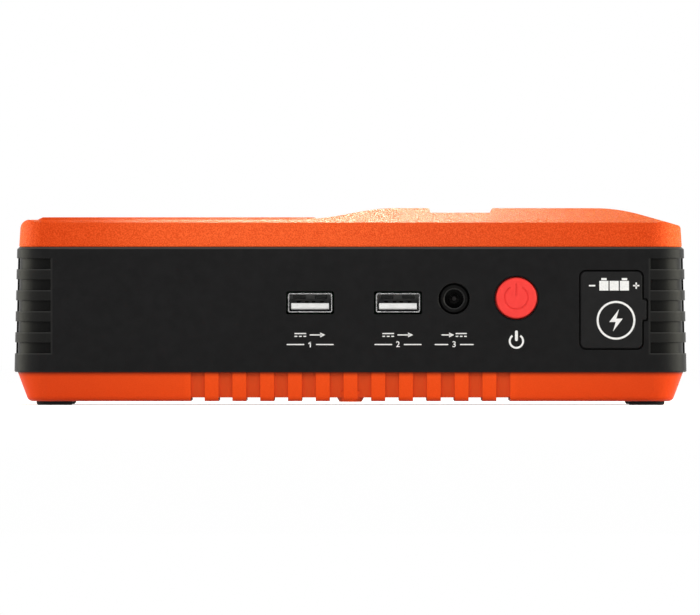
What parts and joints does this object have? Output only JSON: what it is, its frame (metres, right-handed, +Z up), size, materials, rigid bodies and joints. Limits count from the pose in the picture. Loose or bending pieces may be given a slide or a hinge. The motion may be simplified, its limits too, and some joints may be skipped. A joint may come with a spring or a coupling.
{
  "type": "jump starter pack",
  "caption": "Hand-sized battery pack with a humped orange cover, black ribbed band and castellated tray, charging sockets, input jack, push button and a rubber flap over the starter socket.",
  "frame": {"origin": "centre of the footprint, at the height of the feet's undersides", "axes": "+X to the right of the front panel along the length, -Y the way the front panel faces, +Z up"},
  "size_m": [0.2, 0.1004, 0.0586],
  "materials": {
    "cover_orange": "coarse spark-eroded texture",
    "tray_orange": "fine matte texture",
    "black_band": "smooth matte",
    "foot_rubber": "matte",
    "screw_steel": "zinc plated",
    "port_metal": "nickel plated sheet",
    "port_plastic": "moulded",
    "contact_brass": "gold flashed",
    "jack_plastic": "moulded",
    "pin_nickel": "nickel plated",
    "button_red": "silky silicone",
    "switch_plastic": "moulded",
    "cover_rubber": "matte",
    "starter_plastic": "moulded nylon",
    "board_green": "solder mask",
    "capacitor_can": "printed sleeve",
    "ferrite_block": "ferrite",
    "chip_black": "moulded",
    "pad_foam": "closed cell foam",
    "cell_foil": "laminated foil",
    "tab_nickel": "nickel strip",
    "lead_red": "silicone",
    "lead_black": "silicone",
    "torch_clear": "clear",
    "reflector_chrome": "vacuum plated",
    "emitter_yellow": "phosphor",
    "light_clear": "clear, frosted top"
  },
  "bodies": {
    "root": {"upper_case": "cover_orange", "lower_case": "tray_orange", "middle_frame": "black_band", "foot_front_left": "foot_rubber", "foot_front_right": "foot_rubber", "foot_rear_left": "foot_rubber", "foot_rear_right": "foot_rubber", "case_screws": "screw_steel", "board_screws": "screw_steel", "starter_screws": "screw_steel", "torch_screws": "screw_steel", "level_screws": "screw_steel", "charge_port_shell_1": "port_metal", "charge_port_tongue_1": "port_plastic", "charge_port_contacts_1": "contact_brass", "charge_port_shell_2": "port_metal", "charge_port_tongue_2": "port_plastic", "charge_port_contacts_2": "contact_brass", "input_jack_body": "jack_plastic", "input_jack_pin": "pin_nickel", "input_jack_spring": "pin_nickel", "switch_body": "switch_plastic", "port_cover_anchor": "cover_rubber", "starter_socket_body": "starter_plastic", "starter_contact_positive": "contact_brass", "starter_contact_negative": "contact_brass", "main_board": "board_green", "board_capacitors": "capacitor_can", "board_inductor": "ferrite_block", "board_chips": "chip_black", "cell_pad_1": "pad_foam", "cell_pad_2": "pad_foam", "cell_pad_3": "pad_foam", "cell_pad_4": "pad_foam", "cell_1": "cell_foil", "cell_tabs_1": "tab_nickel", "cell_2": "cell_foil", "cell_tabs_2": "tab_nickel", "cell_3": "cell_foil", "cell_tabs_3": "tab_nickel", "protection_board": "board_green", "protection_chips": "chip_black", "positive_lead": "lead_red", "negative_lead": "lead_black", "torch_lens": "torch_clear", "torch_reflector": "reflector_chrome", "torch_emitter": "emitter_yellow", "torch_board": "board_green", "level_light_1": "light_clear", "level_light_2": "light_clear", "level_light_3": "light_clear", "level_light_4": "light_clear", "level_board": "board_green", "level_emitters": "emitter_yellow"},
    "button": {"power_button": "button_red"},
    "plunger": {"switch_plunger": "switch_plastic"},
    "cover": {"port_cover": "cover_rubber"}
  },
  "joints": [
    {"name": "power_button_press", "type": "slide", "parent": "root", "child": "button", "axis": [0, 1, 0], "range_m": [0, 0.0005], "stiffness_N_per_m": 1200},
    {"name": "switch_plunger_press", "type": "slide", "parent": "root", "child": "plunger", "axis": [0, 1, 0], "range_m": [0, 0.0005]},
    {"name": "port_cover_swing", "type": "hinge", "parent": "root", "child": "cover", "pos_m": [0.0683, -0.05, 0.0283], "axis": [0, 0, -1], "range_deg": [0, 120]}
  ],
  "couplings": [
    {"joint": "switch_plunger_press", "follows": "power_button_press", "ratio": 1}
  ]
}
